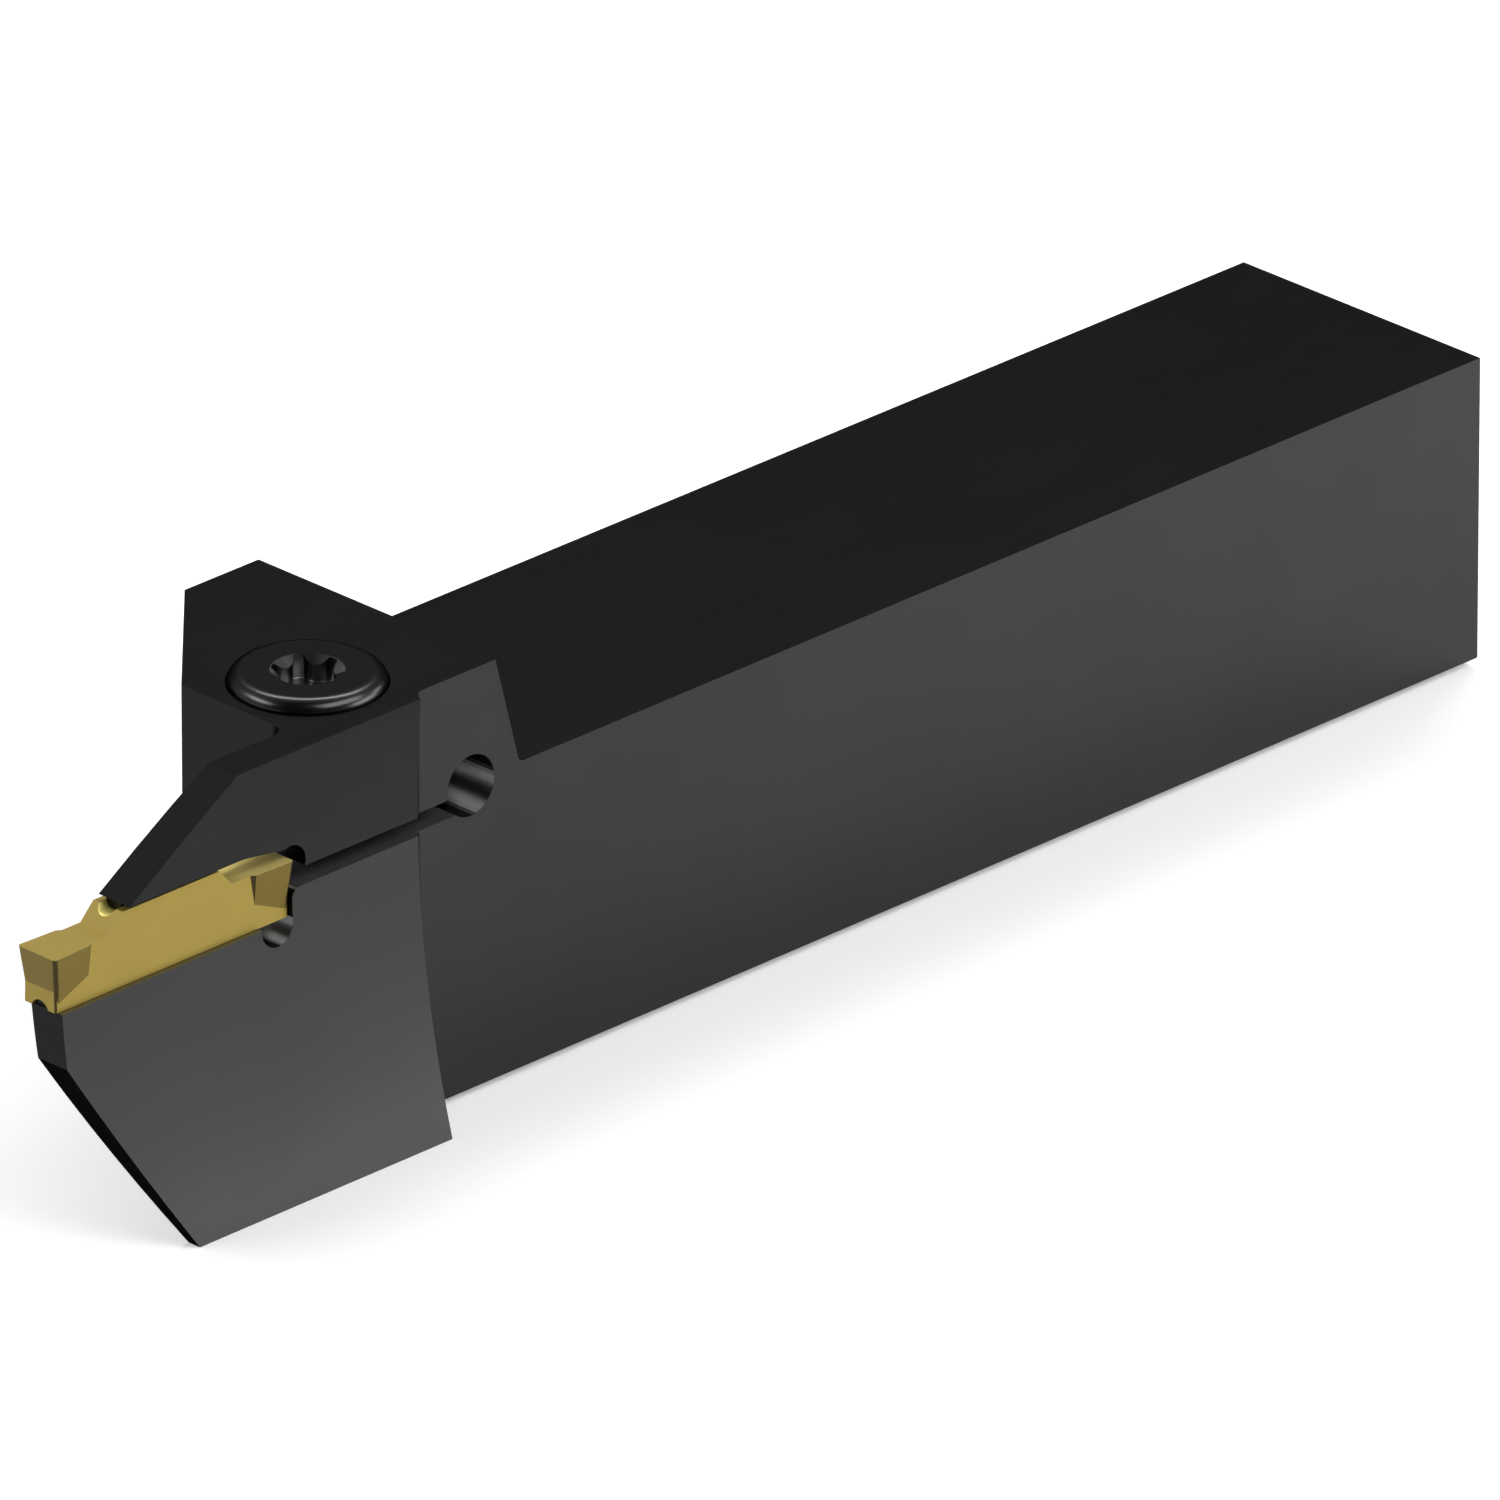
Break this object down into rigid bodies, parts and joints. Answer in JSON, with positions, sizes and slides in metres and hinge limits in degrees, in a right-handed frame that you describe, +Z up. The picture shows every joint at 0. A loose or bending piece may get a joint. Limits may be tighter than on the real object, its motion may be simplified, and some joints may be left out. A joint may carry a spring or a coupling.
{
  "type": "parting and face grooving toolholder",
  "caption": "Square-shank parting and face grooving tool: a raised head carries a curved support blade whose screw-clamped jaws hold a reversible gold-coated insert.",
  "frame": {"origin": "centre of the shank's rear end face", "axes": "+X along the shank towards the cutting edge, +Y towards the side that carries the blade, +Z up"},
  "size_m": [0.1505, 0.0292, 0.0358],
  "materials": {
    "holder": "milled hardened steel, blackened, satin",
    "insert": "gold titanium nitride coating on sintered carbide, satin",
    "clamp_screw": "turned steel, blackened, glossy"
  },
  "bodies": {
    "root": {"holder": "holder", "insert": "insert", "clamp_screw": "clamp_screw"}
  },
  "joints": []
}
